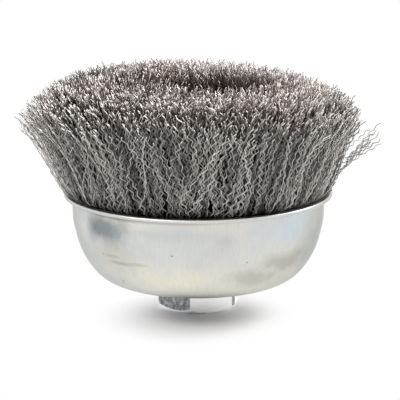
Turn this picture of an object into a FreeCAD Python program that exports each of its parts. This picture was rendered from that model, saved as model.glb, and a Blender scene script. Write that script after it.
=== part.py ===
import FreeCAD, Part
import math
import os
import re

import Sketcher
from FreeCAD import Vector

# A crimped wire cup brush standing on its hub nut, wires up. Millimetres.
# The origin is the centre of the nut's outer face and +Z runs along the spindle axis to the tips.

SIZES = (
    # Hub nut: hexagon outside the cup, round spigot through both cups, flared over inside.
    ("HexAcrossFlats", 22.0),
    ("HexHeight", 8.1),
    ("HexTurn", -10.4),
    ("HexChamferStep", 0.1),
    ("HexChamferAngle", 30.0),
    ("ThreadDiameter", 14.0),
    ("ThreadPitch", 2.0),
    ("ThreadMouth", 1.0),
    ("HubShoulder", 0.8),
    ("SpigotClearance", 0.05),
    ("FlareOverhang", 2.4),
    ("FlareThickness", 3.0),
    # Drawn outer cup: flat base, two blended radii, straight wall, lip turned outwards.
    # The radii are drawn as short flats of equal angle, which keeps the surface light.
    ("CupSheet", 1.2),
    ("CupBaseRadius", 22.0),
    ("CupCornerRadius", 11.5),
    ("CupCornerSweep", 50.0),
    ("CupSideRadius", 23.6),
    ("CupCornerFlats", 5),
    ("CupSideFlats", 4),
    ("CupWallHeight", 5.2),
    ("LipBend", 0.9),
    ("LipWidth", 2.9),
    # Pressed inner cup, clamped on the base, which holds the wires apart at the middle.
    ("InnerSheet", 1.2),
    ("InnerInset", 0.3),
    ("InnerDrop", 2.1),
    # Flat steel hoop that the hairpin wires are bent round.
    ("HoopStandoff", 3.3),
    ("HoopWidth", 2.4),
    ("HoopDepth", 4.0),
    ("HoopLift", 5.1),
    ("HoopClearance", 0.2),
    # Wire fill: bundles of hairpins, each with rows of crimped locks that fan outwards.
    ("TuftCount", 30),
    ("TuftGap", 0.12),
    ("WallClearance", 0.08),
    ("OuterSplay", 17.35),
    ("InnerSplay", 3.4),
    ("OuterTipRise", 24.0),
    ("CrownRise", 34.0),
    ("CrownShare", 0.3),
    ("LockFoot", 0.6),
    ("LockGap", 0.5),
    ("CrimpWave", 0.55),
)

# Radii and heights that several pieces share, worked out from the sizes.
SPIGOT = "(HexAcrossFlats / 2 - HubShoulder)"
CUP_HOLE = SPIGOT + " + SpigotClearance"
CUP_FLOOR = "(HexHeight + CupSheet)"
SWING = "(CupSideRadius - CupCornerRadius)"
WALL_FOOT = "(HexHeight + CupCornerRadius + %s * cos(CupCornerSweep))" % SWING
WALL_TOP = "(%s + CupWallHeight)" % WALL_FOOT
LIP_TOP = "(%s + LipBend + CupSheet)" % WALL_TOP
INNER_RADIUS = "(CupBaseRadius - InnerInset)"
HOOP_NEAR = "(%s + HoopStandoff)" % INNER_RADIUS
HOOP_LOW = "(%s + HoopLift)" % CUP_FLOOR

doc = FreeCAD.newDocument("wire_cup_brush")
sheet = doc.addObject("Spreadsheet::Sheet", "Sizes")
for row, (alias, value) in enumerate(SIZES, 1):
    sheet.set("A%d" % row, alias)
    sheet.set("B%d" % row, str(value))
    sheet.setAlias("B%d" % row, alias)
doc.recompute()


def size(name):
    """Value of one named size, from the sheet."""
    return float(sheet.get(name))


def sized(words):
    """Expression in which each capitalised word, a size's name, stands for its cell of the sheet."""
    return re.sub(r"\b([A-Z]\w*)", r"Sizes.\1", words)


def new_body(label):
    """Empty body whose label names its file."""
    body = doc.addObject("PartDesign::Body", label)
    body.Label = label
    return body


def number(words):
    """Plain number that an expression of named sizes stands for."""
    return float(sheet.evalExpression(sized(words)))


def outline(body, name, role, corners):
    """Closed outline of straight sides on one of the body's origin planes.

    corners are pairs of expressions, and each corner is held by its two distances from the
    origin, so the outline follows the sheet.
    """
    sketch = body.newObject("Sketcher::SketchObject", name)
    plane = [item for item in body.Origin.OriginFeatures if item.Role == role][0]
    sketch.AttachmentSupport = [(plane, "")]
    sketch.MapMode = "FlatFace"
    points = [(number(across), number(up)) for across, up in corners]
    count = len(points)
    for here in range(count):
        start, end = Vector(*points[here], 0), Vector(*points[(here + 1) % count], 0)
        sketch.addGeometry(Part.LineSegment(start, end), False)
    for here in range(count):
        sketch.addConstraint(Sketcher.Constraint("Coincident", here, 2, (here + 1) % count, 1))
        for kind, at, words in zip(("DistanceX", "DistanceY"), points[here], corners[here]):
            rule = sketch.addConstraint(Sketcher.Constraint(kind, -1, 1, here, 1, at))
            sketch.setExpression("Constraints[%d]" % rule, sized(words))
    return sketch


def turned(body, name, kind, sketch):
    """Full turn of an outline about the spindle axis, added or cut as kind says."""
    feature = body.newObject(kind, name)
    feature.Profile = sketch
    feature.ReferenceAxis = (sketch, ["V_Axis"])
    feature.Angle = 360
    return feature


def hub_nut():
    """Hexagon, chamfered seat face, spigot with its flare, and the tapped bore."""
    body = new_body("hub_nut")
    corner = "HexAcrossFlats / 2 / cos(30)"
    hexagon = [("%s * cos(%d + HexTurn)" % (corner, angle), "%s * sin(%d + HexTurn)" % (corner, angle))
               for angle in range(30, 390, 60)]
    pad = body.newObject("PartDesign::Pad", "Hexagon")
    pad.Profile = outline(body, "HexagonOutline", "XY_Plane", hexagon)
    pad.setExpression("Length", sized("HexHeight"))
    chamfer = outline(body, "ChamferOutline", "XZ_Plane", [
        ("HexAcrossFlats / 2 - HexChamferStep", "0"),
        ("HexAcrossFlats", "0"),
        ("HexAcrossFlats", "(HexAcrossFlats / 2 + HexChamferStep) * tan(HexChamferAngle)")])
    turned(body, "SeatChamfer", "PartDesign::Groove", chamfer)
    under = CUP_FLOOR + " + InnerSheet"
    top = under + " + FlareThickness"
    flare = SPIGOT + " + FlareOverhang"
    spigot = outline(body, "SpigotOutline", "XZ_Plane", [
        ("ThreadDiameter / 4", "HexHeight / 2"),
        (SPIGOT, "HexHeight / 2"),
        (SPIGOT, under),
        (flare, under),
        (flare, top),
        ("ThreadDiameter / 4", top)])
    turned(body, "Spigot", "PartDesign::Revolution", spigot)
    wall = "ThreadDiameter / 2 - 0.54127 * ThreadPitch"
    bore = outline(body, "BoreOutline", "XZ_Plane", [
        ("0", "-ThreadMouth"),
        (wall + " + 2 * ThreadMouth", "-ThreadMouth"),
        (wall, "ThreadMouth"),
        (wall, top + " + ThreadMouth"),
        ("0", top + " + ThreadMouth")])
    turned(body, "TappedBore", "PartDesign::Groove", bore)
    return body


def cup_curve(depth):
    """Corners of the cup's curved wall, as expressions, that far inside its outer face."""
    corner_z = "HexHeight + CupCornerRadius"
    side_r = "CupBaseRadius - %s * sin(CupCornerSweep)" % SWING
    turns = ["CupCornerSweep * %d / CupCornerFlats" % step
             for step in range(int(size("CupCornerFlats")))]
    corner = [("CupBaseRadius + (CupCornerRadius - %s) * sin(%s)" % (depth, turn),
               "%s - (CupCornerRadius - %s) * cos(%s)" % (corner_z, depth, turn)) for turn in turns]
    turns = ["(CupCornerSweep + (90 - CupCornerSweep) * %d / CupSideFlats)" % step
             for step in range(int(size("CupSideFlats")) + 1)]
    side = [("%s + (CupSideRadius - %s) * sin(%s)" % (side_r, depth, turn),
             "%s - (CupSideRadius - %s) * cos(%s)" % (WALL_FOOT, depth, turn)) for turn in turns]
    return corner + side


def cup():
    """Drawn outer cup: one sheet from its centre hole to the edge of the lip."""
    body = new_body("cup")
    outside, inside = cup_curve("0"), cup_curve("CupSheet")
    wall, inner_wall = outside[-1][0], inside[-1][0]
    under = WALL_TOP + " + LipBend"
    shell = [(CUP_HOLE, "HexHeight")] + outside + [
        (wall, WALL_TOP),
        (wall + " + LipBend", under),
        (wall + " + LipWidth", under),
        (wall + " + LipWidth", LIP_TOP),
        (wall + " + LipBend", LIP_TOP),
        (inner_wall, WALL_TOP)] + inside[::-1] + [(CUP_HOLE, CUP_FLOOR)]
    turned(body, "Shell", "PartDesign::Revolution",
           outline(body, "ShellOutline", "XZ_Plane", shell))
    return body


def inner_cup():
    """Pressed inner cup, a deep dish clamped on the outer cup's base."""
    body = new_body("inner_cup")
    rim = "%s - InnerDrop" % WALL_TOP
    shell = [
        (CUP_HOLE, CUP_FLOOR),
        (INNER_RADIUS, CUP_FLOOR),
        (INNER_RADIUS, rim),
        (INNER_RADIUS + " - InnerSheet", rim),
        (INNER_RADIUS + " - InnerSheet", CUP_FLOOR + " + InnerSheet"),
        (CUP_HOLE, CUP_FLOOR + " + InnerSheet")]
    turned(body, "InnerShell", "PartDesign::Revolution",
           outline(body, "InnerShellOutline", "XZ_Plane", shell))
    return body


def retaining_hoop():
    """Flat hoop buried in the wires, which the hairpins are bent round."""
    body = new_body("retaining_hoop")
    section = [
        (HOOP_NEAR, HOOP_LOW),
        (HOOP_NEAR + " + HoopWidth", HOOP_LOW),
        (HOOP_NEAR + " + HoopWidth", HOOP_LOW + " + HoopDepth"),
        (HOOP_NEAR, HOOP_LOW + " + HoopDepth")]
    turned(body, "Hoop", "PartDesign::Revolution",
           outline(body, "HoopSection", "XZ_Plane", section))
    return body


class Fill:
    """Wire fill seen as a section in radius and height: packed between the cups, fanned above."""

    def __init__(self):
        self.half_pitch = math.radians(180.0 / size("TuftCount"))
        self.squeeze = math.cos(self.half_pitch)
        self.inside = number(INNER_RADIUS) + size("WallClearance")
        curve = cup_curve("(CupSheet + WallClearance)")
        self.curve = [(number(across) * self.squeeze, number(up)) for across, up in curve]
        self.outside = self.curve[-1][0]
        self.top = number(WALL_TOP)
        self.lip = number(LIP_TOP)

    def packed_section(self):
        """Outline of the packed roots, which fills the space between the two cups."""
        floor = self.curve[0][1]
        return [(self.inside, floor)] + self.curve + [
            (self.outside, self.top), (self.inside, self.top)]

    def hoop_window(self):
        """Outline of the bend that the hoop lies in."""
        near = number(HOOP_NEAR) * self.squeeze - size("HoopClearance")
        far = number(HOOP_NEAR) + size("HoopWidth") + size("HoopClearance")
        low = number(HOOP_LOW) - size("HoopClearance")
        high = number(HOOP_LOW) + size("HoopDepth") + size("HoopClearance")
        return [(near, low), (far, low), (far, high), (near, high)]

    def foot(self, share):
        """Radius at which the wires of a share, from inner edge (0) to outer (1), leave the cup."""
        return self.inside + share * (self.outside - self.inside)

    def tip(self, share):
        """Radius and height of the trimmed tips, which stand in a low dome."""
        radius = self.foot(share) + size("InnerSplay")
        radius += share * (size("OuterSplay") - size("InnerSplay"))
        past = max(share - size("CrownShare"), 0) / (1 - size("CrownShare"))
        fall = (size("CrownRise") - size("OuterTipRise")) * past ** 2
        return radius, self.lip + size("CrownRise") - fall

    def radius_at(self, share, height):
        """Radius at a height on the straight way of the wires of one share."""
        tip = self.tip(share)
        climb = (height - self.top) / (tip[1] - self.top)
        return self.foot(share) + (tip[0] - self.foot(share)) * climb

    def half_width(self, radius):
        """Half the room across a bundle at a radius."""
        return radius * math.tan(self.half_pitch) - size("TuftGap") / 2 / math.cos(self.half_pitch)


def prism(points, lay, along):
    """Solid of a flat outline, laid in space by lay and carried along a vector."""
    wire = Part.makePolygon([lay(*point) for point in points + points[:1]])
    return Part.Face(wire).extrude(along)


def section_solid(points, reach):
    """Solid with an outline in radius and height, which reaches as far to either side."""
    return prism(points, lambda radius, height: Vector(radius, -reach, height),
                 Vector(0, 2 * reach, 0))


def wedge(fill, reach, height):
    """Sector that one bundle may fill."""
    near = fill.inside / 2
    points = [(near, -fill.half_width(near)), (reach, -fill.half_width(reach)),
              (reach, fill.half_width(reach)), (near, fill.half_width(near))]
    return prism(points, lambda across, side: Vector(across, side, 0), Vector(0, 0, height))


def lock(fill, inner, outer, lane, lanes, crimps, drop, lean):
    """One lock of crimped wires: a zigzag band, cut to the lock's fanning section.

    inner and outer are its shares of the fill, and lane of lanes is its place across the bundle.
    drop is how far its tip stays below the dome, and lean says which way its first crimp goes.
    """
    low = fill.top - size("LockFoot")
    near, far = fill.tip(inner), fill.tip(outer)
    section = [
        (fill.foot(inner), low), (fill.foot(outer), low), (fill.foot(outer), fill.top),
        (far[0], far[1] - drop), (near[0], near[1] - drop), (fill.foot(inner), fill.top)]
    left, right = [], []
    for step in range(crimps + 1):
        height = low + (near[1] - low) * step / crimps
        half = fill.half_width(fill.radius_at(inner, height)) / lanes
        middle = (2 * lane + 1 - lanes) * half + lean * size("CrimpWave") * (-1) ** step
        width = half - size("CrimpWave") - size("LockGap") / 2
        left.append((middle - width, height))
        right.append((middle + width, height))
    reach = far[0] + near[0]
    band = prism(left + right[::-1], lambda side, height: Vector(0, side, height), Vector(reach, 0, 0))
    return section_solid(section, reach).common(band)


# Rows of locks from the outside in: inner share, outer share, locks across a bundle, crimps.
ROWS = ((0.74, 1.00, 2, 5), (0.38, 0.68, 2, 2), (0.0, 0.32, 1, 2))
# Drops of the tips that make the bundles uneven, one set for each kind of bundle.
DROPS = ((0.0, 1.4, 0.5, 1.0), (1.1, 0.0, 1.5, 0.4), (0.4, 0.9, 0.0, 1.7))


def tuft_shape(kind):
    """One bundle of hairpin wires, with its packed root and its fanning locks."""
    fill = Fill()
    reach = 2 * fill.outside
    root = section_solid(fill.packed_section(), reach).cut(section_solid(fill.hoop_window(), reach))
    root = root.common(wedge(fill, reach, fill.lip))
    locks = []
    for row, (inner, outer, lanes, crimps) in enumerate(ROWS):
        for lane in range(lanes):
            drop = DROPS[kind][(row + 2 * lane) % 4]
            lean = 1 if (row + lane + kind) % 2 else -1
            locks.append(lock(fill, inner, outer, lane, lanes, crimps, drop, lean))
    return root.fuse(locks).removeSplitter()


def wire_tufts():
    """Every bundle in its place round the axis, each in turn one of the kinds."""
    kinds = [tuft_shape(kind) for kind in range(len(DROPS))]
    count = int(size("TuftCount"))
    tufts = []
    for place in range(count):
        tuft = doc.addObject("Part::Feature", "wire_tuft_%02d" % (place + 1))
        tuft.Label = "wire_tuft_%02d" % (place + 1)
        tuft.Shape = kinds[place % len(kinds)]
        tuft.Placement = FreeCAD.Placement(
            Vector(0, 0, 0), FreeCAD.Rotation(Vector(0, 0, 1), 360.0 * place / count))
        tufts.append(tuft)
    return tufts


parts = [hub_nut(), cup(), inner_cup(), retaining_hoop()] + wire_tufts()
doc.recompute()

faults = [item.Label for item in doc.Objects if "Invalid" in item.State or "Error" in item.State]
faults += [item.Label for item in parts if item.Shape.isNull() or not item.Shape.isValid()]
if faults:
    raise RuntimeError("not built: " + ", ".join(faults))

os.makedirs("parts", exist_ok=True)
for item in parts:
    item.Shape.exportStep("parts/%s.step" % item.Label)
    print("%-16s solids %d volume %.1f" % (item.Label, len(item.Shape.Solids), item.Shape.Volume))
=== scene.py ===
"""Looks of the crimped wire cup brush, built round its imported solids.

Lengths are in millimetres until a mesh is made. The frame is that of the solids: the nut's outer
face at z = 0, the spindle axis along +z and the wires upwards.
"""

import logging
import math
from dataclasses import dataclass
from enum import Enum
from typing import Any

import bpy
import numpy as np
from mathutils import Euler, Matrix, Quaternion, Vector


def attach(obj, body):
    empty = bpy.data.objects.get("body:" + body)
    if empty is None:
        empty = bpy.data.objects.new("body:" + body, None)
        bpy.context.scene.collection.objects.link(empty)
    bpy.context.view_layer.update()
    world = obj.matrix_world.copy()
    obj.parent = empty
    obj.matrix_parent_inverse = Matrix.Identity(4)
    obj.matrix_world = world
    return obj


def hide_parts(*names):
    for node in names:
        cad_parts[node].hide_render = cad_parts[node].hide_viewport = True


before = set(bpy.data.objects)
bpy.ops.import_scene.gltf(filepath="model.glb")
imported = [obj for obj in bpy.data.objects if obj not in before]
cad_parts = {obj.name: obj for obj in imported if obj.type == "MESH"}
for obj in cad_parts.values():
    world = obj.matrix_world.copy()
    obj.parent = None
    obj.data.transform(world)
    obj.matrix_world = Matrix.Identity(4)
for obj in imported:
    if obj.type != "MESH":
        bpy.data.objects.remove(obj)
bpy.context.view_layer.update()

MILLIMETRE = 0.001
BUMP_HEIGHT = 0.0001
CREASE_ANGLE = 22.0
WHITE = (1.0, 1.0, 1.0, 1.0)
Array = np.ndarray
Arrays = tuple[Array, ...]
Object = bpy.types.Object
Material = bpy.types.Material
Socket = bpy.types.NodeSocket
Tree = bpy.types.NodeTree
log = logging.getLogger("wire_cup_brush")


class Edges(Enum):
    """How light runs over a mesh: rounded everywhere, or broken at its sharp edges."""

    ROUND = "round"
    CREASED = "creased"


class Shaders:
    """A node tree with short calls that place and join its nodes."""

    def __init__(self, tree: Tree) -> None:
        """Takes the tree that the nodes go into."""
        self.tree = tree

    def add(self, kind: str, inputs: dict[Any, Any] | None = None,
            **settings: Any) -> bpy.types.Node:
        """Places one node.

        Args:
            kind: the node's type name, without ShaderNode in front.
            inputs: socket name or number, each with a constant or the output that feeds it.
            settings: the node's own properties.

        Returns:
            The new node.
        """
        node = self.tree.nodes.new("ShaderNode" + kind)
        for name, value in settings.items():
            setattr(node, name, value)
        for socket, value in (inputs or {}).items():
            if isinstance(value, Socket):
                self.tree.links.new(value, node.inputs[socket])
            else:
                node.inputs[socket].default_value = value
        return node

    def math(self, operation: str, *values: Any) -> Socket:
        """Result of one sum or function of up to three numbers."""
        return self.add("Math", dict(enumerate(values)), operation=operation).outputs[0]

    def times(self, value: Any, factor: Any) -> Socket:
        """Product of two numbers."""
        return self.math("MULTIPLY", value, factor)

    def line(self, value: Any, factor: Any, start: Any) -> Socket:
        """The value times the factor, plus the start."""
        return self.math("MULTIPLY_ADD", value, factor, start)

    def shifted(self, place: Any, shift: Any) -> Socket:
        """Sum of two vectors."""
        return self.add("VectorMath", {0: place, 1: shift}, operation="ADD").outputs[0]

    def unrolled(self, place: Any) -> tuple[Socket, Socket]:
        """Angle round the axis and height of a place."""
        parts = self.add("SeparateXYZ", {0: place}).outputs
        return self.math("ARCTAN2", parts[1], parts[0]), parts[2]

    def ramp(self, value: Any, low: float, high: float, first: float = 0.0,
             last: float = 1.0) -> Socket:
        """Smooth step from first to last, as the value goes from low to high."""
        inputs = {"Value": value, "From Min": low, "From Max": high,
                  "To Min": first, "To Max": last}
        return self.add("MapRange", inputs, interpolation_type="SMOOTHSTEP").outputs[0]

    def tint(self, share: Any, under: Any, over: Any) -> Socket:
        """Colour under, covered to that share by colour over."""
        first, last = (colour if isinstance(colour, Socket) else (*colour, 1.0)
                       for colour in (under, over))
        return self.add("Mix", {0: share, 6: first, 7: last}, data_type="RGBA").outputs[2]

    def noise(self, where: Any, scale: Any, detail: float = 3.0, roughness: float = 0.5) -> Socket:
        """Value of a noise at a place, between 0 and 1."""
        inputs = {"Vector": where, "Scale": scale, "Detail": detail, "Roughness": roughness}
        return self.add("TexNoise", inputs).outputs[0]

    def mark(self, name: str) -> Socket:
        """Value of one of the mesh's own attributes."""
        return self.add("Attribute", attribute_name=name).outputs["Fac"]

    def bump(self, strength: float, height: Any) -> Socket:
        """Normal of a fine relief."""
        inputs = {"Strength": strength, "Distance": BUMP_HEIGHT, "Height": height}
        return self.add("Bump", inputs).outputs[0]


class Effect(Shaders):
    """A shader node group that several finishes share, with named inputs and outputs."""

    def __init__(self, name: str, inputs: tuple[str, ...], outputs: tuple[str, ...]) -> None:
        """Makes the empty group.

        Args:
            name: the group's name.
            inputs: the values that a finish sets. A Place input is always there.
            outputs: the masks and values that the group works out.
        """
        super().__init__(bpy.data.node_groups.new(name, "ShaderNodeTree"))
        make = self.tree.interface.new_socket
        make("Place", in_out="INPUT", socket_type="NodeSocketVector")
        for way, labels in (("INPUT", inputs), ("OUTPUT", outputs)):
            for label in labels:
                make(label, in_out=way, socket_type="NodeSocketFloat")
        self.given = self.tree.nodes.new("NodeGroupInput").outputs
        self.place = self.given["Place"]
        self.results = self.tree.nodes.new("NodeGroupOutput").inputs

    def put(self, label: str, value: Socket) -> None:
        """Joins a value to one of the group's outputs."""
        self.tree.links.new(value, self.results[label])


def drawn_grain() -> None:
    """Fine lines that a turned or drawn surface carries.

    The place is read as the angle round the axis and the height, noise is stretched by the two
    densities, and the lines run along the direction with the lower density. The outputs are
    Lines, the noise, and Soft, a slower copy of it.
    """
    s = Effect("drawn_grain", ("Around", "Along"), ("Lines", "Soft"))
    turn, height = s.unrolled(s.place)
    where = s.add("CombineXYZ", {
        0: s.times(turn, s.given["Around"]), 1: s.times(height, s.given["Along"])}).outputs[0]
    s.put("Lines", s.noise(where, 1.0, 4.0, 0.65))
    s.put("Soft", s.noise(where, 0.22, 2.0))


def plating_bloom() -> None:
    """Soft clouds of tint that thin zinc plating shows: masks Warm, Cool and Cloud, 0 to 1."""
    s = Effect("plating_bloom", ("Size", "Seed"), ("Warm", "Cool", "Cloud"))
    size, seed = s.given["Size"], s.given["Seed"]
    shift = s.add("CombineXYZ", {0: seed, 1: seed}).outputs[0]
    first = s.shifted(s.place, shift)
    second = s.shifted(first, (3.1, 1.7, 0.4))
    s.put("Warm", s.ramp(s.noise(first, size, 3.0, 0.55), 0.5, 0.7))
    s.put("Cool", s.ramp(s.noise(second, size, 3.0, 0.55), 0.52, 0.72))
    s.put("Cloud", s.noise(first, s.times(size, 2.3), 5.0, 0.6))


def handling_specks() -> None:
    """Specks left by handling, at the middles of a few Voronoi cells: a mask from 0 to 1."""
    s = Effect("handling_specks", ("Density",), ("Specks",))
    density = s.given["Density"]
    cells = s.add("TexVoronoi", {"Vector": s.place, "Scale": density})
    few = s.ramp(s.noise(s.place, s.times(density, 0.3), 2.0), 0.62, 0.7)
    s.put("Specks", s.times(s.ramp(cells.outputs["Distance"], 0.22, 0.1), few))


# The same soft patch serves stains of the plating and painted light on the cup.
def stain_and_painted_light() -> None:
    """One soft patch at an angle round the axis and a height.

    With a and b the distances in angle and height over the patch's width and tallness, it fades
    by a smooth step as sqrt(a^2 + b^2), made ragged by noise, goes from 0.05 to 1.15. The
    output Mask goes from 0 to 1.
    """
    s = Effect("stain_and_painted_light", ("Angle", "Height", "Width", "Tall", "Ragged"), ("Mask",))
    turn, height = s.unrolled(s.place)
    across = s.math("DIVIDE", s.math("SUBTRACT", turn, s.given["Angle"]), s.given["Width"])
    up = s.math("DIVIDE", s.math("SUBTRACT", height, s.given["Height"]), s.given["Tall"])
    away = s.math("SQRT", s.math("ADD", s.times(across, across), s.times(up, up)))
    rag = s.math("SUBTRACT", s.noise(s.place, 150.0, 4.0, 0.6), 0.5)
    away = s.line(rag, s.given["Ragged"], away)
    s.put("Mask", s.ramp(away, 1.15, 0.05))


class Finish(Shaders):
    """A material with one Principled shader, and the place on it in object coordinates."""

    def __init__(self, name: str, **constants: Any) -> None:
        """Makes the material.

        Args:
            name: the material's name.
            constants: Principled inputs that are the same all over, with _ for each space.
        """
        self.material = bpy.data.materials.new(name)
        self.material.use_nodes = True
        self.material.node_tree.nodes.clear()
        super().__init__(self.material.node_tree)
        self.surface = self.add("BsdfPrincipled", {
            label.replace("_", " "): value for label, value in constants.items()})
        self.output = self.add("OutputMaterial", {"Surface": self.surface.outputs[0]})
        self.place = self.add("TexCoord").outputs["Object"]

    def join(self, label: str, value: Socket) -> None:
        """Joins a value that changes over the surface to one of the shader's inputs."""
        self.tree.links.new(value, self.surface.inputs[label])

    def effect(self, name: str, **inputs: Any) -> dict[str, Socket]:
        """Outputs by name of a shared effect that is placed here with its own values."""
        node = self.add("Group", {"Place": self.place, **inputs},
                        node_tree=bpy.data.node_groups[name])
        return {socket.name: socket for socket in node.outputs}


@dataclass(frozen=True)
class Patch:
    """One soft patch of colour on the plating: angle, width in degrees; height, tallness in mm."""

    angle: float
    height: float
    width: float
    tall: float
    colour: tuple
    strength: float
    ragged: float = 0.8


# Patches of colour on the outer cup: angle, height, width, tallness, colour, strength and
# raggedness. Rows marked below as painted are painted light. The warm and cool rows tint the
# plating, and the rows of tallness 0.7 mm and less are scratches and specks.
CUP_PATCHES = tuple(Patch(*row) for row in (
    (-128, 31.4, 27, 1.9, (0.92, 0.85, 0.7), 0.5, 1.0),
    # Painted dark reflection: the next two rows are a soft dark smear below the lip at the left
    # and its fainter tail towards the middle.
    (-139, 28.8, 20, 5.4, (0.19, 0.23, 0.25), 0.9, 1.5),
    (-106, 29.6, 34, 2.6, (0.48, 0.51, 0.52), 0.32, 1.6),
    # Painted shade: the next two rows are a dark, brownish line under the lip's bend.
    (-132, 33.0, 30, 0.9, (0.2, 0.18, 0.15), 0.75, 0.3),
    (-100, 33.1, 26, 0.9, (0.46, 0.37, 0.29), 0.65, 0.3),
    (-78, 27.6, 6, 2.0, (0.48, 0.5, 0.51), 0.4, 1.2),
    (-104, 15.4, 42, 7.0, (0.84, 0.79, 0.64), 0.75, 1.5),
    (-134, 21.8, 17, 5.0, (0.6, 0.58, 0.5), 0.6, 1.6),
    (-44, 29.0, 19, 6.4, (0.6, 0.72, 0.84), 0.45, 1.6),
    (-45, 19.0, 20, 4.6, (0.42, 0.42, 0.37), 0.7, 1.8),
    (-60, 15.6, 22, 3.6, (0.48, 0.46, 0.4), 0.7, 1.8),
    # Painted light: the next three rows are shade along the right edge, a slightly darker band
    # near the left edge and a highlight high on the left edge.
    (-22, 23.4, 19, 13.0, (0.44, 0.47, 0.48), 0.7, 1.2),
    (-160, 20.4, 12, 9.0, (0.5, 0.51, 0.49), 0.2, 1.2),
    (-152, 27.6, 8, 5.0, (0.9, 0.89, 0.85), 0.5, 1.0),
    (-128, 19.4, 10, 0.7, (0.26, 0.25, 0.23), 0.45, 1.4),
    (-134, 21.2, 6, 0.6, (0.3, 0.29, 0.27), 0.4, 1.4),
    (-119, 19.9, 7, 0.6, (0.3, 0.29, 0.27), 0.35, 1.4),
    (-101.8, 23.5, 0.8, 0.4, (0.14, 0.13, 0.12), 0.7, 0.2),
    (-67.5, 21.0, 0.7, 0.35, (0.14, 0.13, 0.12), 0.7, 0.2),
    (62, 24.0, 22, 5.0, (0.8, 0.73, 0.55), 0.5),
    (118, 17.0, 26, 4.0, (0.4, 0.42, 0.42), 0.45),
    (165, 28.0, 12, 4.0, (0.62, 0.72, 0.8), 0.5)))


@dataclass(frozen=True)
class ZincSheet:
    """Bright zinc plating on drawn sheet: pale silver, clouded warm and cool, finely lined."""

    name: str = "bright_zinc_sheet"
    silver: tuple = (0.68, 0.69, 0.67)
    shade: tuple = (0.5, 0.52, 0.51)
    warm: tuple = (0.8, 0.73, 0.58)
    cool: tuple = (0.66, 0.74, 0.8)
    edge: tuple = (0.72, 0.73, 0.72)
    dirt: tuple = (0.16, 0.15, 0.13)
    warmth: float = 0.55
    coolness: float = 0.5
    cloudiness: float = 0.35
    streakiness: float = 0.22
    dirtiness: float = 0.6
    roughness: float = 0.3
    seed: float = 0.0
    patches: tuple = ()

    def material(self) -> Material:
        """Builds the finish.

        Returns:
            The material. Its colour is silver, clouded towards shade, then tinted by the bloom,
            the patches, some of them painted shade, reflection and highlight, the lines of drawing
            and the specks.
        """
        s = Finish(self.name, Metallic=1.0, Specular_Tint=(*self.edge, 1.0))
        bloom = s.effect("plating_bloom", Size=26.0, Seed=self.seed)
        grain = s.effect("drawn_grain", Around=95.0, Along=300.0)
        draw = s.effect("drawn_grain", Around=75.0, Along=260.0)
        specks = s.effect("handling_specks", Density=260.0)["Specks"]
        cloud = s.ramp(bloom["Cloud"], 0.42, 0.72)
        colour = s.tint(s.times(cloud, self.cloudiness), self.silver, self.shade)
        colour = s.tint(s.times(bloom["Warm"], self.warmth), colour, self.warm)
        colour = s.tint(s.times(bloom["Cool"], self.coolness), colour, self.cool)
        # Some patches are painted shade, reflection and highlight, tinted in like the stains.
        for patch in self.patches:
            mask = s.effect("stain_and_painted_light", Angle=math.radians(patch.angle),
                            Height=patch.height * MILLIMETRE, Width=math.radians(patch.width),
                            Tall=patch.tall * MILLIMETRE, Ragged=patch.ragged)["Mask"]
            colour = s.tint(s.times(mask, patch.strength), colour, patch.colour)
        streaks = s.times(s.ramp(draw["Lines"], 0.44, 0.66), self.streakiness)
        colour = s.tint(streaks, colour, self.shade)
        s.join("Base Color", s.tint(s.times(specks, self.dirtiness), colour, self.dirt))
        rough = s.line(grain["Lines"], 0.12, self.roughness - 0.06)
        s.join("Roughness", s.line(cloud, 0.1, rough))
        height = s.line(grain["Soft"], 1.5, grain["Lines"])
        s.join("Normal", s.bump(0.1, s.math("SUBTRACT", height, s.times(specks, 1.5))))
        return s.material


@dataclass(frozen=True)
class NutSteel:
    """Machined steel under thin plating: pale, mottled on its flats and bright along its edges.

    The front-left flat is also painted dark as shade, and a band beside one corner is a
    painted dark reflection.
    """

    name: str = "plated_nut_steel"
    pale: tuple = (0.97, 0.975, 0.97)
    # Dark colour of the mottling, also of the painted shade and dark reflection on the flats.
    mottle_and_shade_colour: tuple = (0.15, 0.165, 0.175)
    bright: tuple = (0.88, 0.88, 0.87)
    dirt: tuple = (0.12, 0.11, 0.1)

    def material(self) -> Material:
        """Builds the finish.

        Returns:
            The material. Its colour is pale, mottled by noise as far as an attribute says, which
            also paints shade on the front-left flat and a dark reflection beside one corner, and
            bright where the wear attribute marks an edge.
        """
        s = Finish(self.name, Metallic=1.0)
        lines = s.effect("drawn_grain", Around=40.0, Along=2600.0)["Lines"]
        specks = s.effect("handling_specks", Density=700.0)["Specks"]
        blots = s.noise(s.place, 640.0, 5.0, 0.7)
        fine = s.ramp(s.noise(s.place, 1900.0, 3.0, 0.6), 0.35, 0.7)
        wear = s.mark("wear")
        share = s.line(fine, 0.25, s.ramp(blots, 0.36, 0.62, 0.58, 0.9))
        # The attribute adds painted shade on the front-left flat and a painted dark reflection
        # beside one corner to the mottling.
        share = s.times(share, s.mark("mottle_and_shade"))
        colour = s.tint(share, self.pale, self.mottle_and_shade_colour)
        colour = s.tint(s.times(specks, 0.5), colour, self.dirt)
        s.join("Base Color", s.tint(wear, colour, self.bright))
        rough = s.line(share, 0.15, s.line(lines, 0.15, 0.28))
        s.join("Roughness", s.math("SUBTRACT", rough, s.times(wear, 0.12)))
        s.join("Normal", s.bump(0.25, s.line(blots, 2.0, lines)))
        return s.material


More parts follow.
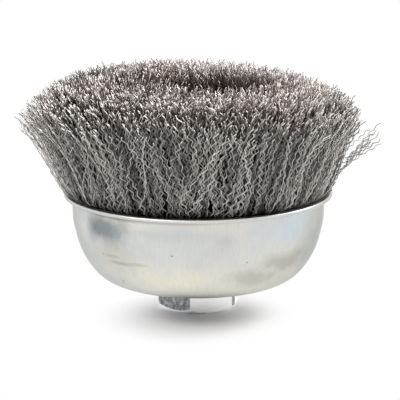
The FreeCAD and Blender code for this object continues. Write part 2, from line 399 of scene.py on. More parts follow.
@dataclass(frozen=True)
class HoopSteel:
    """Plain rolled strip, grey with darker scale."""

    name: str = "rolled_hoop_steel"
    grey: tuple = (0.42, 0.42, 0.42)
    scale: tuple = (0.2, 0.19, 0.18)

    def material(self) -> Material:
        """Builds the finish.

        Returns:
            The material. Its colour is grey, with scale where the slow lines run high.
        """
        s = Finish(self.name, Metallic=1.0)
        grain = s.effect("drawn_grain", Around=20.0, Along=1500.0)
        s.join("Base Color", s.tint(s.ramp(grain["Soft"], 0.4, 0.65), self.grey, self.scale))
        s.join("Roughness", s.line(grain["Lines"], 0.3, 0.3))
        s.join("Normal", s.bump(0.2, grain["Lines"]))
        return s.material


@dataclass(frozen=True)
class CrimpedWireSteel:
    """Drawn steel wire: each wire its own grey, with painted shade at the root, browned tips."""

    name: str = "crimped_wire_steel"
    dark: tuple = (0.067, 0.063, 0.059)
    light: tuple = (1.0, 0.965, 0.92)
    tip: tuple = (0.83, 0.75, 0.72)
    rust: tuple = (0.13, 0.095, 0.082)
    # Painted shade: wire roots deep in the fill, and the cores, darken to this colour.
    root: tuple = (0.035, 0.034, 0.032)

    def material(self) -> Material:
        """Builds the finish.

        Returns:
            The material. The tone attribute picks each wire's grey, the crown attribute browns
            the tips, and the rise attribute, 0 at the foot and 1 at the tip, darkens the root with
            painted shade.
        """
        s = Finish(self.name, Metallic=0.9)
        tone = s.mark("tone")
        fine = s.noise(s.place, 900.0, 3.0, 0.6)
        broad = s.ramp(s.noise(s.place, 38.0, 2.0), 0.3, 0.62, 0.35, 1.0)
        grey = s.line(s.math("SUBTRACT", fine, 0.5), 0.5, tone)
        brown = s.tint(tone, self.rust, self.tip)
        colour = s.tint(grey, self.dark, self.light)
        colour = s.tint(s.times(s.mark("crown"), broad), colour, brown)
        # Painted shade: the root end, low in rise, darkens to the root colour.
        s.join("Base Color", s.tint(s.ramp(s.mark("rise"), 0.32, 0.04), colour, self.root))
        s.join("Roughness", s.line(fine, 0.25, 0.28))
        s.join("Normal", s.bump(0.15, fine))
        return s.material


def unit(values: Array) -> Array:
    """Values held between 0 and 1."""
    return np.clip(values, 0, 1)


def arc(centre: tuple[float, float], radius: float, first: float, last: float,
        steps: int) -> Array:
    """Points in radius and height on a circle, from one angle in degrees to another.

    The formula is centre + radius * (cos angle, sin angle).
    """
    angle = np.radians(np.linspace(first, last, steps + 1))
    return np.stack([centre[0] + radius * np.cos(angle), centre[1] + radius * np.sin(angle)], 1)


def grid_faces(rows: int, columns: int, closed: bool, start: int = 0) -> Array:
    """Corner numbers of the four-sided faces of a grid whose columns run round to their start.

    Args:
        rows: points along the first parameter.
        columns: points along the second parameter.
        closed: whether the rows run round to their start too.
        start: number of the grid's first point.

    Returns:
        An array with four corners a face, which faces along (second x first) parameter.
    """
    row = np.arange(rows if closed else rows - 1)
    row, column = np.meshgrid(row, np.arange(columns), indexing="ij")
    above, beside = (row + 1) % rows, (column + 1) % columns
    corners = (row * columns + column, row * columns + beside,
               above * columns + beside, above * columns + column)
    return start + np.stack(corners, -1).reshape(-1, 4)


def make_piece(name: str, points: Array, faces: list[Array], finish: Material,
               edges: Edges = Edges.ROUND, marks: dict[str, Array] | None = None) -> Object:
    """Makes a mesh object that rides on the brush.

    Args:
        name: the piece's name.
        points: its points in millimetres.
        faces: arrays of corner numbers, each of one face size.
        finish: its material.
        edges: how its shading runs.
        marks: attribute name to one value for each point.

    Returns:
        The object, which sits at the origin.
    """
    mesh = bpy.data.meshes.new(name)
    corners = np.concatenate([face.ravel() for face in faces]).astype(np.int32)
    sizes = np.concatenate([np.full(len(face), face.shape[1]) for face in faces])
    mesh.vertices.add(len(points))
    mesh.vertices.foreach_set("co", (points * MILLIMETRE).astype(np.float32).ravel())
    mesh.loops.add(len(corners))
    mesh.loops.foreach_set("vertex_index", corners)
    mesh.polygons.add(len(sizes))
    mesh.polygons.foreach_set("loop_start", (np.cumsum(sizes) - sizes).astype(np.int32))
    for label, values in (marks or {}).items():
        data = mesh.attributes.new(label, "FLOAT", "POINT").data
        data.foreach_set("value", values.astype(np.float32).ravel())
    mesh.update(calc_edges=True)
    mesh.shade_smooth()
    if edges is Edges.CREASED:
        mesh.set_sharp_from_angle(angle=math.radians(CREASE_ANGLE))
    mesh.materials.append(finish)
    piece = bpy.data.objects.new(name, mesh)
    bpy.context.scene.collection.objects.link(piece)
    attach(piece, "root")
    log.info("%s: %d points, %d triangles", name, len(points), int((sizes - 2).sum()))
    return piece


def round_axis(radius: Array, angle: Any, height: Array) -> Array:
    """Points (r cos t, r sin t, z) at a radius, an angle in radians and a height."""
    return np.stack([radius * np.cos(angle), radius * np.sin(angle), height], -1)


def turned_points(profile: Array, columns: int) -> Array:
    """Points of a surface of revolution, one row for each point of the profile."""
    turn = np.arange(columns) * 2 * np.pi / columns
    return round_axis(profile[:, :1], turn, profile[:, 1:] + 0 * turn).reshape(-1, 3)


@dataclass
class Cups:
    """The drawn outer cup and the pressed inner cup."""

    floor: float = 8.1
    sheet: float = 1.2
    hole: float = 10.25
    base: float = 22.0
    corner: float = 11.5
    sweep: float = 50.0
    side: float = 23.6
    wall_height: float = 5.2
    lip_bend: float = 0.9
    lip_width: float = 2.9
    flare: float = 0.55
    flare_below: float = 5.0
    flare_tall: float = 7.0
    inner_radius: float = 21.7
    inner_rim: float = 30.478
    rounding: float = 0.3
    columns: int = 240

    def hole_edge(self, low: float) -> Arrays:
        """Lower and upper rounded edge of the hole, in a sheet whose underside is at low."""
        across = self.hole + self.rounding
        return (arc((across, low + self.rounding), self.rounding, 180, 270, 4),
                arc((across, low + self.sheet - self.rounding), self.rounding, 90, 180, 4))

    def outer_profile(self) -> Array:
        """Closed section of the outer cup, anticlockwise in radius and height.

        Two arcs of radii corner and side meet at the sweep angle. A straight wall follows and the
        sheet turns outwards through a quarter circle, to a rounded edge. With u the share of
        flare_tall, counted from flare_below under the wall's foot, the wall is wider by
        flare * (3 u^2 - 2 u^3), which is taken off the lip's width.

        Returns:
            The section's points.
        """
        edge = self.sheet / 2 - 0.1
        swing = self.side - self.corner
        angle = math.radians(self.sweep)
        corner_at = (self.base, self.floor + self.corner)
        side_at = (self.base - swing * math.sin(angle), corner_at[1] + swing * math.cos(angle))
        wall = side_at[0] + self.side
        bend_at = (wall + self.lip_bend, side_at[1] + self.wall_height)
        lip = wall + self.lip_width - edge - self.flare
        low = bend_at[1] + self.lip_bend
        turn = 270 + self.sweep
        lower, upper = self.hole_edge(self.floor)
        section = np.concatenate([
            lower,
            arc(corner_at, self.corner, 270, turn, 18),
            arc(side_at, self.side, turn, 360, 18)[1:],
            arc(bend_at, self.lip_bend, 180, 90, 8),
            arc((lip, low + edge), edge, 270, 360, 6),
            arc((lip, low + self.sheet - edge), edge, 0, 90, 6),
            arc(bend_at, self.lip_bend + self.sheet, 90, 180, 10),
            arc(side_at, self.side - self.sheet, 360, turn, 14),
            arc(corner_at, self.corner - self.sheet, turn, 270, 14)[1:],
            upper])
        share = unit((section[:, 1] - side_at[1] + self.flare_below) / self.flare_tall)
        section[:, 0] += self.flare * share ** 2 * (3 - 2 * share)
        return section

    def inner_profile(self) -> Array:
        """Closed section of the inner cup: a dish with a rounded corner and rim.

        Returns:
            The section's points, anticlockwise in radius and height.
        """
        low = self.floor + self.sheet
        near = self.inner_radius - self.sheet
        lower, upper = self.hole_edge(low)
        return np.concatenate([
            lower,
            arc((self.inner_radius - 1.0, low + 1.0), 1.0, 270, 360, 6),
            arc((self.inner_radius - 0.4, self.inner_rim - 0.4), 0.4, 0, 90, 5),
            arc((near + 0.4, self.inner_rim - 0.4), 0.4, 90, 180, 5),
            arc((near - 0.5, low + self.sheet + 0.5), 0.5, 0, -90, 5),
            upper])

    def build(self) -> None:
        """Makes both cups and lets them stand for their solids."""
        outer = ZincSheet(patches=CUP_PATCHES)
        inner = ZincSheet(name="inner_zinc_sheet", silver=(0.6, 0.6, 0.58), seed=4.0)
        for name, node, profile, finish in (
                ("drawn_cup", "cup", self.outer_profile(), outer),
                ("pressed_inner_cup", "inner_cup", self.inner_profile(), inner)):
            faces = grid_faces(len(profile), self.columns, True)
            piece = make_piece(name, turned_points(profile, self.columns), [faces],
                               finish.material(), Edges.CREASED)
            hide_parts(node)


@dataclass
class HubNut:
    """Hexagon with a chamfered face, spigot flared over the inner cup, and an M14 x 2 bore."""

    across_flats: float = 22.0
    height: float = 8.1
    turn: float = -10.4
    chamfer_step: float = 0.1
    spigot: float = 10.2
    flare: float = 12.6
    flare_low: float = 10.5
    top: float = 13.5
    minor: float = 5.917
    major: float = 7.0
    pitch: float = 2.0
    mouth: float = 6.95
    # Per flat, anticlockwise from the back-right one: mottling above the chamfer. The front-left
    # flat's 1.0 also paints it dark as shade; the front-right and right flats stay clean.
    flat_mottle_and_shade: tuple = (0.5, 0.7, 0.4, 1.0, 0.0, 0.0)
    # Width in degrees of a painted dark reflection on the right flat, beside its front corner.
    band: float = 26.0
    steps: tuple = (0, 0.12, 0.25, 0.4, 0.55, 0.7, 0.85, 1.0, 1.15, 1.4, 2.5, 4.5, 6.5)
    slope: float = math.sqrt(3)

    def angles(self) -> Array:
        """Places the grid's columns.

        Returns:
            Their angles in degrees: an even step, closer beside the hexagon's corners.
        """
        corners = np.arange(30, 390, 60)[:, None] + self.turn
        steps = np.array([-4, -2, -1, -0.45, 0.45, 1, 2, 4, *range(6, 57, 3)])
        return np.sort(np.mod((corners + steps).ravel(), 360))

    def hexagon(self, degrees: Array) -> Array:
        """Works out the hexagon with its corners broken.

        Args:
            degrees: angle of each column.

        Returns:
            The radius, (across_flats / 2) / cos(angle from the nearest flat's middle).
        """
        off = np.mod(degrees - self.turn + 30, 60) - 30
        corner = self.across_flats / 2 / math.cos(math.radians(30))
        return np.minimum(self.across_flats / 2 / np.cos(np.radians(off)), corner - 0.07)

    def bore(self, degrees: Array, height: Array) -> Array:
        """Works out the threaded bore.

        With p = height / pitch - angle / 360 and w = |2 frac(p) - 1|, it is minor +
        (major - minor) * (w - 1/4) / (5/8), held between minor and major, and at least
        mouth - height, which cuts the lead-in.

        Args:
            degrees: angle of each column.
            height: height by row and column.

        Returns:
            The radius by row and column.
        """
        phase = height / self.pitch - degrees / 360
        wave = np.abs(2 * (phase - np.floor(phase)) - 1)
        thread = self.minor + (self.major - self.minor) * unit((wave - 0.25) / 0.625)
        return np.minimum(np.maximum(thread, self.mouth - height), self.mouth + 0 * height)

    def marks(self, degrees: Array, radius: Array, height: Array) -> dict[str, Array]:
        """Wear, and mottling with painted shade, of the nut's points.

        The wear is a Gaussian of the distance from a corner or from the chamfer's rim. Each flat
        has its own strength of mottling above the chamfer; the front-left flat's also paints shade
        there, and a band beside one corner adds a painted dark reflection.

        Args:
            degrees: angle of each column.
            radius: radius by row and column.
            height: height by row and column.

        Returns:
            Both attributes by name.
        """
        hexagon, flat = self.hexagon(degrees), self.across_flats / 2 - self.chamfer_step
        off = np.mod(degrees - self.turn, 60) - 30
        corner = np.exp(-(np.abs(np.radians(off)) * radius / 0.25) ** 2) * (radius > flat + 0.3)
        rim = np.exp(-((flat + height * self.slope - hexagon) / 0.3) ** 2)
        rim = rim * (height < 1.6) * (radius > flat - 1)
        flat_number = (np.mod(degrees - self.turn - 30, 360) // 60).astype(int)
        above = unit((height - (hexagon - flat) / self.slope - 0.4) / 0.2)
        # Painted dark reflection in a band beside one corner, and painted shade on the front-left
        # flat, on top of the mottling.
        band = unit((self.band - np.mod(degrees - self.turn - 330, 360)) / 3)
        mottle_and_shade = (np.array(self.flat_mottle_and_shade)[flat_number] + band) * above
        return {"wear": np.maximum(corner, rim), "mottle_and_shade": mottle_and_shade}

    def build(self) -> None:
        """Makes the nut as one closed grid, rows from the seat face round to the bore."""
        degrees = self.angles()
        hexagon = self.hexagon(degrees)
        flat = self.across_flats / 2 - self.chamfer_step
        rise = np.array([*self.steps, self.height - 0.1])
        sides = np.minimum(hexagon, flat + rise[:, None] * self.slope)
        ring = np.ones_like(degrees)
        seat = np.array([self.mouth + 0.3, 9.0, flat - 0.2])
        spigot = np.concatenate([
            [[self.spigot, self.height], [self.spigot, self.flare_low]],
            arc((self.flare - 0.9, self.flare_low + 0.9), 0.9, 270, 360, 6),
            arc((self.flare - 1.2, self.top - 1.2), 1.2, 0, 90, 6)])
        depth = np.linspace(self.top, 0.1, 76)[:, None] + 0 * ring
        tall = np.concatenate([0 * seat, rise, [self.height], spigot[:, 1]])[:, None] * ring
        wide = np.concatenate([seat[:, None] * ring, sides, hexagon[None] - 0.1,
                               spigot[:, :1] * ring])
        radius = np.concatenate([wide, self.bore(degrees, depth), self.mouth * ring[None]])
        height = np.concatenate([tall, depth, 0 * ring[None]])
        points = round_axis(radius, np.radians(degrees), height)
        faces = grid_faces(radius.shape[0], radius.shape[1], True)
        piece = make_piece("threaded_hub_nut", points.reshape(-1, 3), [faces],
                           NutSteel().material(), Edges.CREASED,
                           self.marks(degrees, radius, height))
        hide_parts("hub_nut")


@dataclass(frozen=True)
class Layer:
    """One layer of the wire fill.

    It says how many wires a bundle has there, between which shares of the fill their tips end,
    how far down from the tips they are modelled and in how many straight pieces, their range of
    tones, how far wires stray to the side and tips in height, and the share of bright wires.
    """

    count: int
    inner: float
    outer: float
    length: float
    pieces: int
    tones: tuple
    unrest: float
    ragged: float
    bright: float


@dataclass
class WireFill:
    """Crimped hairpin wires in bundles: packed between the cups and fanned out above the lip.

    The share of the fill goes from 0 at tip_inner to 1 at tip_outer. Above bend_low the wires keep
    clear of the cup's lip. Round gap_angle, in degrees, the layers inside the hollow are thinner
    and painted darker as shade, as are wires buried under others. sprung gives bundles and their
    numbers of sprung wires. The angle turn, in radians, and rng are those of the bundle that is
    being made.
    """

    bundles: int = 30
    foot_inner: float = 22.1
    foot_outer: float = 35.2
    foot_height: float = 31.0
    held: float = 0.73
    bend_low: float = 32.58
    bend: float = 2.1
    clearance: float = 2.0
    tip_inner: float = 25.2
    tip_outer: float = 52.4
    tip_scatter: tuple = (0.3, 0.8, 0.15)
    crown: float = 66.8
    slant: float = 2.2
    droop: float = 1.5
    fall: float = 12.6
    fall_power: float = 2.5
    lift: float = 0.35
    right_pull: float = 5.0
    crown_share: float = 0.22
    bulge: float = 8.0
    hollow: float = 9.0
    wire: float = 0.14
    wave: float = 0.56
    gap_angle: float = 29.0
    gap_width: float = 44.0
    gap_thinning: float = 0.95
    gap_reach: float = 0.35
    # Strength of painted shade on inner wires across the hollow, and on wires buried under others.
    gap_shade: float = 0.5
    buried_shade: float = 0.75
    sprung: tuple = ((0, 4), (1, 3), (29, 5))
    seed: int = 7300
    turn: float = 0.0
    rng: np.random.Generator | None = None
    layers: tuple = (
        Layer(11, 0.9, 0.985, 40.0, 22, (0.15, 1.0), 2.4, 0.8, 0.75),
        Layer(30, 0.74, 0.91, 40.0, 22, (0.0, 1.0), 2.2, 0.8, 0.62),
        Layer(64, 0.48, 0.86, 26.0, 15, (0.0, 1.0), 1.8, 0.7, 0.56),
        Layer(115, 0.08, 0.56, 11.0, 7, (0.05, 1.0), 1.1, 0.7, 0.52),
        Layer(24, -0.06, 0.1, 24.0, 14, (0.0, 0.95), 1.2, 0.8, 0.45),
        Layer(34, -0.5, -0.05, 20.0, 11, (0.0, 0.95), 1.5, 1.2, 0.45))

    def tip(self, share: Array) -> Arrays:
        """Places the trimmed tips.

        They stand in a dome that falls with a power of the share, lower towards +x. It falls
        most at -x, and at +x the outer tips are pulled in. Both sides droop by droop * cos^2.

        Args:
            share: share of the fill at each tip.

        Returns:
            Radius and height of each tip.
        """
        past = np.maximum(share - self.crown_share, 0) / (1 - self.crown_share)
        radius = self.tip_inner + (self.tip_outer - self.tip_inner) * share
        cosine = math.cos(self.turn)
        aslant = (self.slant + self.droop * cosine) * cosine * radius / self.tip_outer
        left, right = max(-cosine, 0) ** 2, max(cosine, 0) ** 2
        fall = self.fall * (1 - self.lift * (1 - left))
        radius = radius - self.right_pull * right * unit(share) ** 3
        return radius, self.crown - fall * past ** self.fall_power - aslant

    def sway(self, unrest: float, shift: Array, local: Array, climb: Array) -> Arrays:
        """How far the stations of wires lie beside and outside the wires' bowed lines.

        A slow sine, a stray that grows as t^1.3 and a lean are scaled by the unrest, and a whole
        bundle may lean. On top comes the crimp, a zigzag of two pieces a period in a plane of its
        own. It is shifted by a part u of a piece, so either end has 1 - 2 u of the swing.

        Args:
            unrest: the layer's unrest.
            shift: the part u of each wire.
            local: share t of the modelled length, by wire and station.
            climb: share of the whole length, by wire and station.

        Returns:
            Both distances by wire and station.
        """
        rng, turn = self.rng, self.turn
        count, stations = local.shape
        phase = rng.uniform(0, 2 * np.pi, (2, count, 1))
        pace = rng.uniform(0.5, 1.3, (2, count, 1))
        slow = np.sin(2 * np.pi * pace * local + phase) - np.sin(phase)
        stray = rng.normal(0, 1, (2, count, 1)) * local ** 1.3
        clump = 0.5 * math.sin(5 * turn) + 0.4 * math.sin(11 * turn + 1)
        lean = rng.normal(0, 1, (count, 1)) * (local - 0.5)
        side = unrest * (0.7 * slow[0] + 0.8 * stray[0] + 2.0 * lean) + clump * climb
        out = unrest * (0.3 * slow[1] + 0.3 * stray[1])
        zigzag = (-1.0) ** np.arange(stations)[None] * rng.choice([-1, 1], (count, 1))
        zigzag[:, [0, -1]] *= (1 - 2 * shift) * np.array([1, -1])
        swing = self.wave * rng.uniform(0.7, 1.15, (count, 1)) * zigzag
        swing = swing * rng.uniform(0.75, 1.1, (count, stations))
        plane = rng.normal(0, 0.5, (count, 1))
        return side + swing * np.cos(plane), out + swing * np.sin(plane)

    def shading(self, layer: Layer, share: Array, climb: Array, near_gap: float) -> Arrays:
        """Tone of wires, and how far their stations lie in the browned crown.

        A bright wire has 0.7 to 1 of the layer's range of tones and a dull one up to 0.28. The
        inner wires are painted brighter towards +x, the key lamp's side, and what is buried under
        others or lies across the hollow is painted darker as shade.

        Args:
            layer: the layer.
            share: share of the fill at each wire's tip, one row a wire.
            climb: share of the whole length, by wire and station.
            near_gap: 1 where the hollow is open and 0 away from there.

        Returns:
            Both values by wire and station.
        """
        lit = self.rng.uniform(size=share.shape) < layer.bright
        pick = self.rng.uniform(0, 1, share.shape)
        low, high = layer.tones
        tone = low + (high - low) * np.where(lit, 0.7 + 0.3 * pick, 0.28 * pick)
        # Painted highlight: the inner wires are made brighter towards +x, the key lamp's side.
        tone = tone + 0.12 * math.cos(self.turn - 0.3) * unit(2 - 2 * share) + 0 * climb
        # Painted shade on wires buried under others, low in the fill.
        buried = unit((0.86 - share) / 0.12) * unit((0.95 - climb) / 0.1)
        tone = tone * (1 - self.buried_shade * buried)
        # Painted shade on the inner wires across the open hollow.
        tone = tone * (1 - self.gap_shade * near_gap * unit((0.2 - share) / 0.15))
        return tone, unit((0.9 - share) / 0.45) * unit((climb - 0.6) / 0.3)

    def wires(self, layer: Layer) -> Arrays:
        """Centre lines of the wires of one layer of a bundle.

        With t the way from foot to tip and s the foot's share, each line bows outwards by s^4
        times bulge * t (1 - t)^3 - hollow * t^2 (1 - t), and then sways.

        Args:
            layer: the layer.

        Returns:
            Points by wire and station, then the tone, the rise and the crown share of each.
        """
        rng, turn = self.rng, self.turn
        half, spread = math.pi / self.bundles, self.tip_outer - self.tip_inner
        away = math.degrees(math.remainder(turn - math.radians(self.gap_angle), 2 * math.pi))
        near_gap = math.exp(-(away / self.gap_width) ** 2)
        lining = int(layer.outer < 0)
        count = max(round(layer.count * (1 - self.gap_thinning * near_gap * lining)), 2)
        reach_in = 1 - self.gap_reach * math.cos(math.radians(away)) * lining
        ends = (self.tip_inner + spread * np.array([layer.inner * reach_in, layer.outer])) ** 2
        share = (np.sqrt(rng.uniform(*ends, count)) - self.tip_inner) / spread
        tip_r, tip_z = self.tip(share)
        held = unit(np.where(share > self.held, 1 - 0.3 * (1 - share), share))
        foot_r = self.foot_inner + (self.foot_outer - self.foot_inner) * held
        across, along, beyond = self.tip_scatter
        tip_r = tip_r + rng.normal(0, across, count)
        uneven = rng.normal(0, along, count) + rng.exponential(beyond, count)
        tip_z = tip_z + layer.ragged * uneven - 1.5 * np.maximum(-0.05 - share, 0)
        low = 1 - layer.length / np.hypot(tip_r - foot_r, tip_z - self.foot_height)
        low = np.maximum(low, 0)[:, None]
        shift = rng.uniform(0, 1, (count, 1))
        local = unit((np.arange(layer.pieces + 1)[None] - shift) / (layer.pieces - 1))
        climb = low + (1 - low) * local
        bow = self.bulge * climb * (1 - climb) ** 3 - self.hollow * climb ** 2 * (1 - climb)
        radius = foot_r[:, None] + (tip_r - foot_r)[:, None] * climb + held[:, None] ** 4 * bow
        height = self.foot_height + (tip_z - self.foot_height)[:, None] * climb
        angle = turn + rng.uniform(-half, half, (count, 1))
        side, out = self.sway(layer.unrest, shift, local, climb)
        past = np.clip(height - self.bend_low, 0, self.bend)
        room = self.foot_outer + self.clearance - np.sqrt(self.bend ** 2 - past ** 2)
        below_lip = height < self.bend_low + self.bend + 0.4
        out = np.where(below_lip, np.minimum(out, room - radius), out)
        points = round_axis(radius + out, angle, height)
        points += round_axis(side, angle + np.pi / 2, 0 * side)
        tone, crown = self.shading(layer, share[:, None], climb, near_gap)
        return points, tone, climb, crown

    def strays(self, count: int) -> Arrays:
        """Centre lines of wires that have sprung out of the fill.

        With t the way along a wire and q how far up the side it leaves the fill, the radius is
        38.5 + 13 q + reach * t + 1.5 t^2 and the height 37 + 19 q + rise * t.

        Args:
            count: how many there are.

        Returns:
            Points by wire and station, then the tone, the rise and the crown share of each.
        """
        rng, stations, swing = self.rng, 12, 0.42
        climb = np.linspace(0, 1, stations)[None] + np.zeros((count, 1))
        start = rng.uniform(0.1, 0.45, (count, 1))
        reach = (12.5 - 10 * start) * rng.uniform(0.7, 1.1, (count, 1))
        radius = 38.5 + 13 * start + reach * climb + 1.5 * climb ** 2
        height = 37.0 + 19 * start + rng.uniform(6, 14, (count, 1)) * climb
        angle = self.turn + rng.uniform(-0.12, 0.12, (count, 1))
        angle = angle + rng.normal(0, 0.04, (count, 1)) * climb
        zigzag = (-1.0) ** np.arange(stations)[None] * rng.choice([-1, 1], (count, 1))
        zigzag = swing * zigzag * rng.uniform(0.6, 1.2, (count, stations))
        radius, height = radius + 0.6 * zigzag, height - 0.5 * zigzag
        points = round_axis(radius, angle, height)
        tone = 0.1 + 0.4 * rng.uniform(size=(count, 1)) + 0 * climb
        return points, tone, 0.5 + 0 * climb, 0 * climb

    def tubes(self, lines: Array) -> Arrays:
        """Three-sided tubes round centre lines.

        The corner k of a station stands wire * (cos a_k, sin a_k) from the line, in the two
        directions square to the wire's mean direction.

        Args:
            lines: points by wire and station.

        Returns:
            The points, the four-sided faces and the three-sided end caps.
        """
        count, stations = lines.shape[:2]
        along = lines[:, -1] - lines[:, 0]
        along /= np.linalg.norm(along, axis=1, keepdims=True)
        first = np.cross(along, np.array([0.31, 0.17, 0.93]) - 0.4 * along)
        first /= np.linalg.norm(first, axis=1, keepdims=True)
        second = np.cross(along, first)
        angle = np.arange(3) * 2 * np.pi / 3
        ring = (np.cos(angle)[None, :, None] * first[:, None]
                + np.sin(angle)[None, :, None] * second[:, None])
        points = (lines[:, :, None] + self.wire * ring[:, None]).reshape(-1, 3)
        one = grid_faces(stations, 3, False)
        starts = np.arange(count)[:, None, None] * stations * 3
        last = (stations - 1) * 3
        caps = np.array([[0, 2, 1], [last, last + 1, last + 2]])
        return points, (one[None] + starts).reshape(-1, 4), (caps[None] + starts).reshape(-1, 3)

    def core(self) -> Arrays:
        """The closed body that the deeper wires of one bundle make up.

        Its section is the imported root, with a tunnel for the hoop, and the fan up to a little
        below the tips. It is carried across the bundle between two planes through the axis.

        Returns:
            The points, the four-sided faces and the three-sided faces.
        """
        tip_r, tip_z = self.tip(np.linspace(0.05, 0.66, 9))
        root = np.concatenate([
            [[21.9, 32.0], [21.9, 21.0], [21.9, 14.0], [21.9, 9.6]],
            arc((22.0, 19.6), 10.0, 270, 320, 5), arc((12.731, 27.378), 22.1, 320, 360, 4)[1:],
            [[34.7, 32.0], [28.0, 32.0]]])
        count = len(root)
        tunnel = arc((26.2, 16.4), 2.5, 135, 135 + 360 * (count - 1) / count, count - 1)
        fan = np.concatenate([[[22.3, 32.2], [33.4, 32.2]],
                              np.stack([tip_r[::-1] - 0.8, tip_z[::-1] - 7], 1)])
        half = math.pi / self.bundles - 0.002
        points = np.concatenate([
            round_axis(loop[:, 0], angle, loop[:, 1])
            for loop in (root, tunnel, fan) for angle in (self.turn - half, self.turn + half)])
        band = grid_faces(2, count, False)
        here, ahead, inner = band[:, 0], band[:, 1], 2 * count
        quads = np.concatenate([
            band, inner + band[:, ::-1],
            np.stack([here, inner + here, inner + ahead, ahead], 1),
            count + np.stack([ahead, inner + ahead, inner + here, here], 1),
            grid_faces(2, len(fan), False, 2 * inner)])
        inside = np.arange(1, len(fan) - 1)
        near = 2 * inner + np.stack([0 * inside, inside + 1, inside], 1)
        return points, quads, np.concatenate([near, len(fan) + near[:, ::-1]])

    def bundle(self, place: int, finish: Material) -> None:
        """Makes one bundle, its core and its wires, and lets it stand for its solid.

        Args:
            place: the bundle's number, from 0.
            finish: the wires' material.
        """
        self.rng = np.random.default_rng(self.seed + place)
        self.turn = 2 * np.pi * place / self.bundles
        parts, quads, triangles = ([piece] for piece in self.core())
        # The core's tone, rise and crown are 0, so it takes the root colour: a nearly black body
        # that stands for painted shade deep in the fill.
        marks = {label: [np.zeros(len(parts[0]))] for label in ("tone", "rise", "crown")}
        groups = [self.wires(layer) for layer in self.layers]
        groups += [self.strays(number) for at, number in self.sprung if at == place]
        for lines, *values in groups:
            start = sum(len(part) for part in parts)
            tube, sides, caps = self.tubes(lines)
            parts.append(tube)
            quads.append(sides + start)
            triangles.append(caps + start)
            for label, value in zip(marks, values):
                marks[label].append(np.repeat(value.ravel(), 3))
        piece = make_piece("wire_bundle_%02d" % (place + 1), np.concatenate(parts),
                           [np.concatenate(quads), np.concatenate(triangles)], finish,
                           marks={label: np.concatenate(marks[label]) for label in marks})
        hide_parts("wire_tuft_%02d" % (place + 1))

    def build(self) -> None:
        """Makes every bundle round the axis."""
        finish = CrimpedWireSteel().material()
        for place in range(self.bundles):
            self.bundle(place, finish)


def stand(name: str, data: Any, place: Any, rotation: Quaternion) -> Object:
    """Sets up a lamp or the camera.

    Args:
        name: its name.
        data: its lamp or camera settings.
        place: where it stands, in metres.
        rotation: how it is turned.

    Returns:
        The object.
    """
    holder = bpy.data.objects.new(name, data)
    holder.location = place
    holder.rotation_mode = "QUATERNION"
    holder.rotation_quaternion = rotation
    bpy.context.scene.collection.objects.link(holder)
    return holder


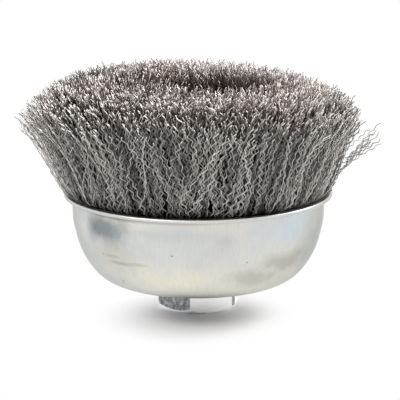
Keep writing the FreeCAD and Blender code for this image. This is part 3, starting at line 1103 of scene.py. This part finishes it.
@dataclass
class Studio:
    """White floor, soft lamps and the camera at the photograph's viewing angle."""

    camera_at: tuple = (0.51, -603.4, 168.8)
    pitch: float = 12.82
    roll: float = -0.22
    focal: float = 5.2775
    floor_radius: float = 4000.0
    floor_sides: int = 48
    pale: tuple = ((0.8, 0.8, 0.81), (0.83, 0.83, 0.84))
    # Floor colour of the painted shadow under the nut.
    painted_contact_shadow: tuple = (0.53, 0.53, 0.54)
    foot: tuple = (0.0, -0.014, 0.0)
    aim: tuple = (0.0, 0.0, 0.035)
    diffuse: float = 0.62
    sensor: float = 36.0

    def floor(self) -> None:
        """Pale disc under the brush, z = 0.

        Near the nut it is lit as it stands and keeps the shadow, and round foot its colour is
        also darkened as a painted shadow under the nut. With distance, what the camera and
        reflections see of it goes over to the white of the backdrop, for reflections sooner.
        """
        rings = np.concatenate([[0.0], np.geomspace(20, self.floor_radius, 24)])
        points = turned_points(np.stack([rings, 0 * rings], 1), self.floor_sides)
        s = Finish("white_floor", Roughness=0.75, Metallic=0.0)
        away = s.add("VectorMath", {0: s.place, 1: self.foot}, operation="DISTANCE").outputs[1]
        pale = s.tint(s.noise(s.place, 30.0, 4.0), *self.pale)
        # Painted shadow: the floor's colour darkens within 12 mm of foot, under the nut.
        s.join("Base Color", s.tint(s.ramp(away, 0.012, 0.001), pale, self.painted_contact_shadow))
        path = s.add("LightPath").outputs
        mirrored = s.math("MAXIMUM", path["Is Glossy Ray"], path["Is Transmission Ray"])
        seen = s.times(path["Is Camera Ray"], s.ramp(away, 0.006, 0.032))
        seen = s.math("MAXIMUM", seen, s.times(mirrored, s.ramp(away, 0.003, 0.023)))
        white = s.add("Emission", {"Color": WHITE, "Strength": 1.0})
        both = s.add("MixShader", {0: seen, 1: s.surface.outputs[0], 2: white.outputs[0]})
        s.tree.links.new(both.outputs[0], s.output.inputs["Surface"])
        mesh = bpy.data.meshes.new("floor")
        faces = grid_faces(len(rings), self.floor_sides, False)[:, ::-1]
        mesh.from_pydata((points * MILLIMETRE).tolist(), [], faces.tolist())
        mesh.materials.append(s.material)
        floor = bpy.data.objects.new("floor", mesh)
        bpy.context.scene.collection.objects.link(floor)

    def lamp(self, name: str, place: tuple, size: float, power: float) -> None:
        """Adds one square soft lamp that points at the brush.

        Args:
            name: the lamp's name.
            place: where it hangs, in metres.
            size: its side in metres.
            power: its power in watts.
        """
        light = bpy.data.lights.new(name, "AREA")
        light.shape, light.size, light.energy = "SQUARE", size, power
        towards = Vector(self.aim) - Vector(place)
        stand(name, light, place, towards.to_track_quat("-Z", "Y"))

    def world(self) -> None:
        """White surroundings for the camera and reflections, a little lower for diffuse light."""
        world = bpy.data.worlds.new("studio")
        world.use_nodes = True
        world.node_tree.nodes.clear()
        s = Shaders(world.node_tree)
        path = s.add("LightPath").outputs
        mirrored = s.math("MAXIMUM", path["Is Glossy Ray"], path["Is Transmission Ray"])
        seen = s.math("MAXIMUM", path["Is Camera Ray"], mirrored)
        strength = s.ramp(seen, 0.0, 1.0, self.diffuse, 1.0)
        back = s.add("Background", {"Color": WHITE, "Strength": strength})
        s.add("OutputWorld", {"Surface": back.outputs[0]})
        bpy.context.scene.world = world

    def camera(self) -> None:
        """Camera that the photograph's own outline gave: place, pitch, roll and focal length."""
        lens = bpy.data.cameras.new("camera")
        lens.sensor_width = self.sensor
        lens.lens = self.sensor * self.focal
        lens.clip_start, lens.clip_end = 0.01, 20.0
        place = [value * MILLIMETRE for value in self.camera_at]
        tilt = Euler((math.radians(90 - self.pitch), 0, 0)).to_quaternion()
        roll = Quaternion((0, 0, 1), math.radians(self.roll))
        bpy.context.scene.camera = stand("camera", lens, place, tilt @ roll)

    def build(self) -> None:
        """Sets up floor, lamps, world and camera."""
        self.floor()
        self.world()
        self.lamp("key", (0.8, 0.35, 0.95), 0.6, 12.0)
        self.lamp("fill", (-0.7, -0.75, 0.8), 0.8, 5.0)
        self.camera()
        bpy.context.scene.view_settings.view_transform = "Standard"


def dress_hoop() -> None:
    """Gives the hoop's own solid its finish."""
    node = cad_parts["retaining_hoop"]
    node.data.materials.clear()
    node.data.materials.append(HoopSteel().material())
    log.info("retaining_hoop: finish set")


def main() -> None:
    """Builds the brush and its studio."""
    logging.basicConfig(level=logging.INFO, format="%(name)s: %(message)s")
    for effect in (drawn_grain, plating_bloom, handling_specks, stain_and_painted_light):
        effect()
    Cups().build()
    HubNut().build()
    dress_hoop()
    WireFill().build()
    Studio().build()


if __name__ == "__main__":
    main()
